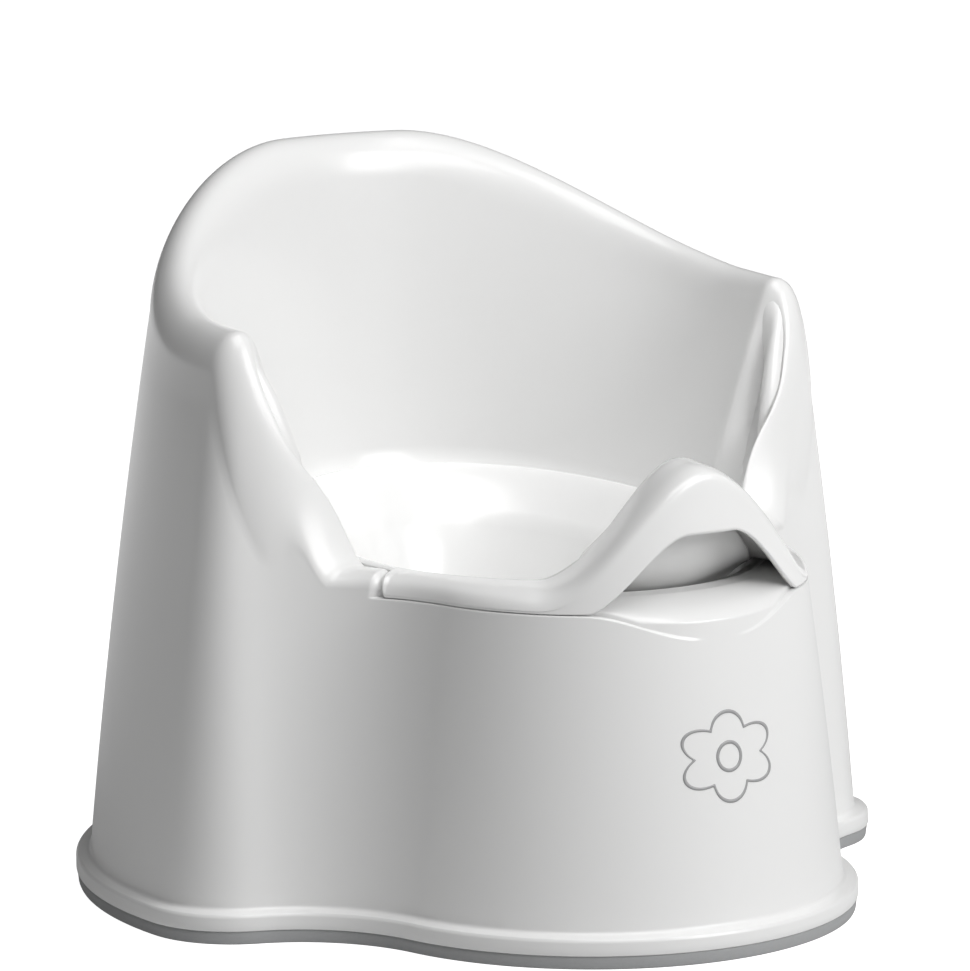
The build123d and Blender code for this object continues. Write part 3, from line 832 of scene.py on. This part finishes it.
@dataclass(frozen=True)
class MouldedPlastic:
    """White polypropylene: a soft gloss with faint flow clouding and a very fine skin."""

    name: str
    color: tuple[float, float, float]
    roughness: float
    cloud: float = 0.012
    coat: float = 0.25

    def material(self) -> bpy.types.Material:
        """Builds the node material."""
        finish = Finish(self.name)
        clouds, specks = finish.noise(14.0, 3.0), finish.noise(900.0, 2.0, 0.6)
        darker = tuple(value - self.cloud for value in self.color)
        tone = finish.mix(clouds, (*darker, 1.0), (*self.color, 1.0))
        finish.feed(finish.shader.inputs["Base Color"], tone)
        gloss = clouds * 0.05 + specks * 0.03 + (self.roughness - 0.04)
        finish.feed(finish.shader.inputs["Roughness"], gloss)
        finish.bump(finish.noise(1400.0, 2.0, 0.55) * 0.6 + finish.noise(55.0, 1.0) * 0.4, 0.00002, 0.5)
        finish.shader.inputs["Coat Weight"].default_value = self.coat
        finish.shader.inputs["Coat Roughness"].default_value = 0.12
        finish.shader.inputs["IOR"].default_value = 1.49
        finish.shader.inputs["Subsurface Weight"].default_value = 0.06
        finish.shader.inputs["Subsurface Radius"].default_value = (0.004, 0.004, 0.004)
        return finish.material


@dataclass(frozen=True)
class SoftRubber:
    """Grey grip rubber: matt, with a fine grain."""

    name: str = "grey_grip_rubber"
    color: tuple[float, float, float] = (0.36, 0.365, 0.37)

    def material(self) -> bpy.types.Material:
        """Builds the node material."""
        finish = Finish(self.name)
        grain = finish.noise(700.0, 3.0, 0.6)
        pale = tuple(value * 1.12 for value in self.color)
        finish.feed(finish.shader.inputs["Base Color"], finish.mix(grain, (*self.color, 1.0), (*pale, 1.0)))
        finish.feed(finish.shader.inputs["Roughness"], grain * 0.15 + 0.55)
        finish.bump(grain, 0.00005, 0.6)
        return finish.material


@dataclass(frozen=True)
class PrintInk:
    """Grey printing ink with a slightly uneven film."""

    name: str = "grey_print"
    color: tuple[float, float, float] = (0.36, 0.36, 0.365)

    def material(self) -> bpy.types.Material:
        """Builds the node material."""
        finish = Finish(self.name)
        film = finish.noise(260.0, 2.0)
        pale = tuple(value * 1.08 for value in self.color)
        finish.feed(finish.shader.inputs["Base Color"], finish.mix(film, (*self.color, 1.0), (*pale, 1.0)))
        finish.feed(finish.shader.inputs["Roughness"], film * 0.1 + 0.36)
        return finish.material


# ---------------------------------------------------------------- studio


@dataclass(frozen=True)
class Softbox:
    """Rectangular studio light, placed by bearing and height about the chair."""

    name: str
    bearing: float
    elevation: float
    distance: float
    width: float
    height: float
    power: float

    def build(self, target: Vector) -> bpy.types.Object:
        """Hangs the light and points it at the target."""
        lamp = bpy.data.lights.new(self.name, "AREA")
        lamp.shape, lamp.size, lamp.size_y, lamp.energy = "RECTANGLE", self.width, self.height, self.power
        light = bpy.data.objects.new(self.name, lamp)
        turn, rise = radians(self.bearing), radians(self.elevation)
        away = Vector((sin(turn) * cos(rise), -cos(turn) * cos(rise), sin(rise)))
        light.location = target + away * self.distance
        light.rotation_euler = (-away).to_track_quat("-Z", "Y").to_euler()
        bpy.context.scene.collection.objects.link(light)
        return light


@dataclass(frozen=True)
class Studio:
    """Pale floor, soft light and the camera."""

    azimuth: float = -34.45
    elevation: float = 10.59
    distance: float = 2.664
    focal_share: float = 6008.0 / 970.0
    turn_aside: float = 0.3
    turn_down: float = -0.53
    near_glow: tuple[float, ...] = (0.14, 0.14, 0.14, 1.0)
    far_glow: tuple[float, ...] = (0.8, 0.8, 0.8, 1.0)
    room_light: float = 0.06
    view_centre: tuple[float, ...] = (0.0, -0.0135, 0.1528)
    light_centre: tuple[float, ...] = (0.0, -0.01, 0.15)
    floor_away: tuple[float, ...] = (0.566, 0.825)
    lights: tuple[Softbox, ...] = (
        Softbox("key_softbox", 23.0, 30.0, 1.9, 1.0, 1.0, 19.0),
        Softbox("top_softbox", 0.0, 72.0, 1.8, 1.3, 1.3, 20.0),
    )

    def towards(self, azimuth: float, elevation: float) -> Vector:
        """Unit vector from the chair towards a viewer at this azimuth and elevation."""
        flat = cos(radians(elevation))
        return Vector((sin(radians(azimuth)) * flat, -cos(radians(azimuth)) * flat, sin(radians(elevation))))

    def camera(self) -> bpy.types.Object:
        """Sets up the long-lens camera."""
        lens = bpy.data.cameras.new("camera")
        lens.sensor_width = 36.0
        lens.lens = 36.0 * self.focal_share
        lens.clip_end = 50.0
        camera = bpy.data.objects.new("camera", lens)
        away = self.towards(self.azimuth, self.elevation)
        camera.location = Vector(self.view_centre) + away * self.distance
        aim = -self.towards(self.azimuth + self.turn_aside, self.elevation + self.turn_down)
        camera.rotation_euler = aim.to_track_quat("-Z", "Y").to_euler()
        bpy.context.scene.collection.objects.link(camera)
        bpy.context.scene.camera = camera
        return camera

    def floor(self) -> bpy.types.Object:
        """Lays the pale floor, which looks white from anywhere and casts less light near the chair."""
        mesh = bpy.data.meshes.new("floor")
        mesh.from_pydata([(-9, -9, 0), (9, -9, 0), (9, 9, 0), (-9, 9, 0)], [], [(0, 1, 2, 3)])
        floor = bpy.data.objects.new("floor", mesh)
        bpy.context.scene.collection.objects.link(floor)
        finish = Finish("pale_floor")
        finish.feed(finish.shader.inputs["Base Color"], (0.6, 0.6, 0.6, 1.0))
        finish.feed(finish.shader.inputs["Roughness"], 0.6)
        finish.shader.inputs["Specular IOR Level"].default_value = 0.15
        split = finish.node("ShaderNodeSeparateXYZ", Vector=finish.place())
        across, along = Sock(finish.tree, split.outputs["X"]), Sock(finish.tree, split.outputs["Y"])
        behind = (across * self.floor_away[0] + along * self.floor_away[1]) * 0.8 - 0.1
        glow = behind.math("MAXIMUM", 0.0).math("MINIMUM", 1.0)
        seen = finish.node("ShaderNodeLightPath").outputs["Is Camera Ray"]
        cast = finish.mix(glow, self.near_glow, self.far_glow)
        finish.feed(finish.shader.inputs["Emission Color"], finish.mix(seen, cast, (1.0, 1.0, 1.0, 1.0)))
        finish.shader.inputs["Emission Strength"].default_value = 1.0
        mesh.materials.append(finish.material)
        return floor

    def build(self) -> None:
        """Lights the room and sets the camera and the floor."""
        world = bpy.data.worlds.new("studio")
        bpy.context.scene.world = world
        world.use_nodes = True
        shade = world.node_tree.nodes["Background"]
        nodes, links = world.node_tree.nodes, world.node_tree.links
        backdrop, room = nodes.new("ShaderNodeMix"), self.room_light
        backdrop.data_type = "RGBA"
        backdrop.inputs[6].default_value = (room, room, room, 1.0)
        backdrop.inputs[7].default_value = (1.0, 1.0, 1.0, 1.0)
        links.new(nodes.new("ShaderNodeLightPath").outputs["Is Camera Ray"], backdrop.inputs[0])
        links.new(backdrop.outputs[2], shade.inputs["Color"])
        shade.inputs["Strength"].default_value = 1.0
        bpy.context.scene.view_settings.view_transform = "Standard"
        for light in self.lights:
            light.build(Vector(self.light_centre))
        self.floor()
        self.camera()


# ---------------------------------------------------------------- assembly


def dress(piece: bpy.types.Object, material: bpy.types.Material, body: Body,
          node: str | None) -> None:
    """Gives a piece its finish and its place in the frame.

    Args:
        piece: The new piece.
        material: Its finish.
        body: Body that it rides on.
        node: CAD node that it stands for, if any.
    """
    piece.data.materials.append(material)
    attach(piece, body.value)
    if node:
        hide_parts(node)
    logger.info("%s: %d faces on %s", piece.name, len(piece.data.polygons), body.value)


def main() -> None:
    logging.basicConfig(level=logging.INFO, format="%(name)s %(message)s")
    form = ChairForm.from_frame()
    shell_finish = MouldedPlastic("white_shell_plastic", (0.86, 0.86, 0.855), 0.3)
    potty_finish = MouldedPlastic("white_potty_plastic", (0.88, 0.88, 0.875), 0.24)
    dress(ChairShell(form).build(), shell_finish.material(), Body.CHAIR, "chair_shell")
    dress(InnerPotty(form).build(), potty_finish.material(), Body.POTTY, "inner_potty")
    dress(GripStrip(form).build(), SoftRubber().material(), Body.CHAIR, "base_grip_strip")
    ink = PrintInk().material()
    for mark in FlowerMark(form).build():
        dress(mark, ink, Body.CHAIR, None)
    Studio().build()


if __name__ == "__main__":
    main()
